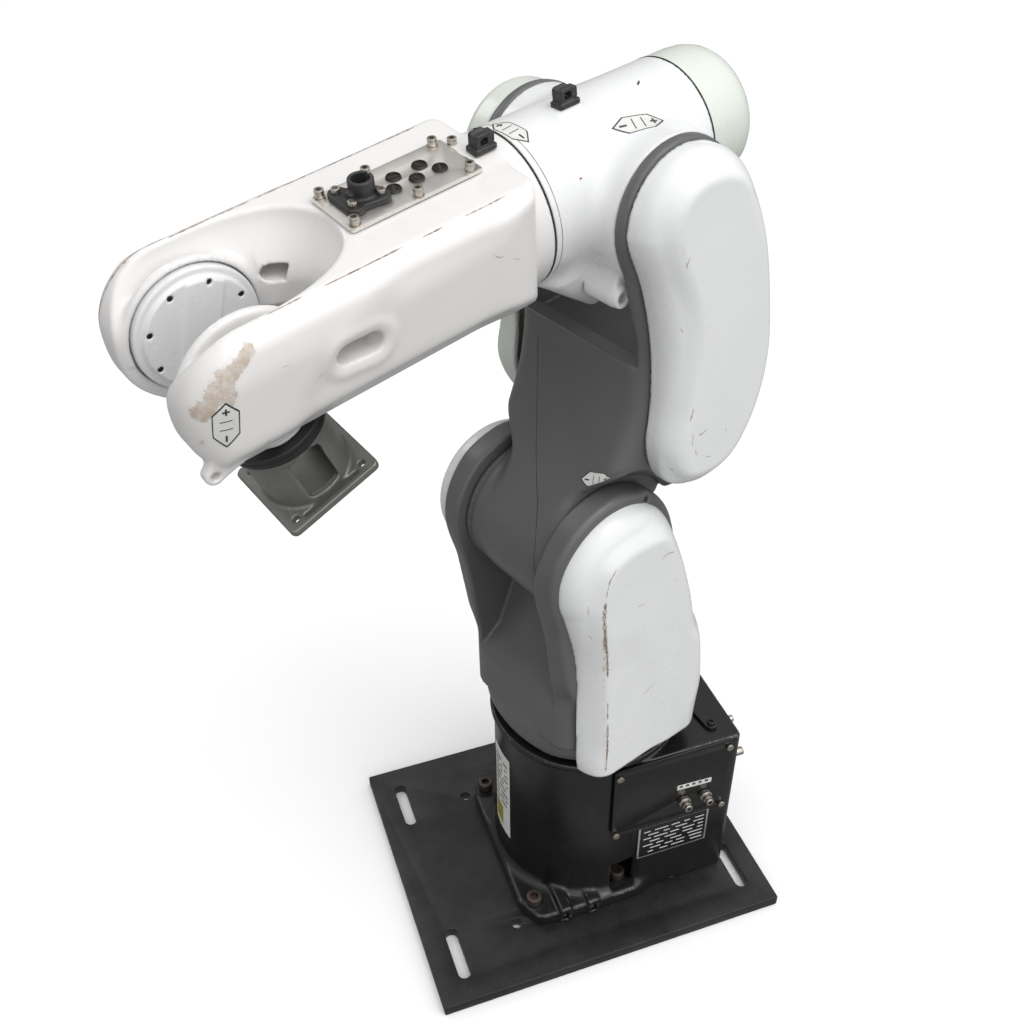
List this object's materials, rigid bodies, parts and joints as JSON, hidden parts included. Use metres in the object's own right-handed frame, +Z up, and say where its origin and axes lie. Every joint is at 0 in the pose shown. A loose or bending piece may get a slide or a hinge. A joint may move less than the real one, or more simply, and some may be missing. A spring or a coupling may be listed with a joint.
{
  "type": "six-axis robot arm",
  "caption": "Articulated six-axis robot arm on a slotted ground plate, with paired side covers, a forked forearm and a square-plate tool adapter.",
  "frame": {"origin": "underside of the ground plate, on the axis the turret turns about", "axes": "+Z up along the turret axis, +X towards the front of the ground plate, +Y to the left of the base, where the side access door is"},
  "size_m": [0.5349, 0.3393, 0.8474],
  "materials": {
    "plate_steel": "black oxide, worn",
    "black_paint": "satin black paint over cast aluminium",
    "label_plate": "printed plate with a bright border",
    "grey_paint": "matt grey paint over cast aluminium",
    "white_paint": "satin white paint over cast aluminium",
    "cap_white": "moulded, slightly aged",
    "white_cover": "moulded cover, satin",
    "satin_plate": "satin anodised",
    "black_anodised": "black anodised",
    "adapter_aluminium": "hard anodised, matt",
    "black_plastic": "moulded",
    "belt_rubber": "toothed belt",
    "bright_steel": "zinc plated",
    "plated_connector": "nickel plated shell",
    "drive_unit": "dark painted drive unit"
  },
  "bodies": {
    "base": {"ground_plate": "plate_steel", "base_casting": "black_paint", "foot_bolt_1": "bright_steel", "foot_bolt_2": "bright_steel", "foot_bolt_3": "bright_steel", "foot_bolt_4": "bright_steel", "side_access_door": "black_paint", "door_screw_1": "bright_steel", "door_screw_2": "bright_steel", "door_screw_3": "bright_steel", "door_screw_4": "bright_steel", "air_fitting_front": "bright_steel", "air_fitting_rear": "bright_steel", "rating_plate": "label_plate", "rear_connector_panel": "black_paint", "power_connector": "plated_connector", "signal_connector": "plated_connector", "rear_air_fitting": "bright_steel", "turn_stop_strip": "black_paint", "j1_reducer": "drive_unit", "j1_motor": "drive_unit"},
    "turret": {"turret_casting": "grey_paint", "turret_cover_left": "white_cover", "turret_cover_right": "white_cover", "j2_reducer": "drive_unit", "j2_motor": "drive_unit", "j2_bearing": "bright_steel"},
    "upper_arm": {"arm_casting": "grey_paint", "arm_cover_left": "white_cover", "arm_cover_right": "white_cover", "j3_reducer": "drive_unit", "j3_motor": "drive_unit", "j3_belt": "belt_rubber"},
    "elbow": {"elbow_housing": "white_paint", "elbow_rear_cap": "cap_white", "elbow_tie_mount": "black_plastic", "j4_motor": "drive_unit", "j4_reducer": "drive_unit"},
    "forearm": {"forearm_casting": "white_paint", "forearm_top_plate": "satin_plate", "top_plate_screw_1": "bright_steel", "top_plate_screw_2": "bright_steel", "top_plate_screw_3": "bright_steel", "top_plate_screw_4": "bright_steel", "top_plate_screw_5": "bright_steel", "top_plate_screw_6": "bright_steel", "port_plug_1": "black_plastic", "port_plug_2": "black_plastic", "port_plug_3": "black_plastic", "port_plug_4": "black_plastic", "port_plug_5": "black_plastic", "cable_clamp": "black_plastic", "forearm_tie_mount": "black_plastic", "j5_motor": "drive_unit", "j5_reducer": "drive_unit"},
    "wrist": {"wrist_yoke": "white_paint"},
    "flange": {"tool_flange": "black_anodised", "tool_adapter": "adapter_aluminium"}
  },
  "joints": [
    {"name": "j1_turret_turn", "type": "hinge", "parent": "base", "child": "turret", "pos_m": [0, 0, 0.235], "axis": [0, 0, 1], "range_deg": [-188.9, 151.1]},
    {"name": "j2_shoulder_pitch", "type": "hinge", "parent": "turret", "child": "upper_arm", "pos_m": [0.04068, 0.01393, 0.469], "axis": [-0.3239, 0.9461, 0], "range_deg": [-45, 60]},
    {"name": "j3_elbow_pitch", "type": "hinge", "parent": "upper_arm", "child": "elbow", "pos_m": [0.00462, 0.00158, 0.76657], "axis": [-0.3239, 0.9461, 0], "range_deg": [-110, 25]},
    {"name": "j4_forearm_roll", "type": "hinge", "parent": "elbow", "child": "forearm", "pos_m": [0.00697, 0.00238, 0.78359], "axis": [0.9362, 0.3205, -0.1444], "range_deg": [-182.3, 197.7]},
    {"name": "j5_wrist_pitch", "type": "hinge", "parent": "forearm", "child": "wrist", "pos_m": [0.29962, 0.10258, 0.73846], "axis": [-0.3393, 0.9313, -0.1326], "range_deg": [-215.6, 6]},
    {"name": "j6_flange_turn", "type": "hinge", "parent": "wrist", "child": "flange", "pos_m": [0.29962, 0.10258, 0.73846], "axis": [-0.3403, -0.2529, -0.9057], "range_deg": [-360, 360]}
  ]
}
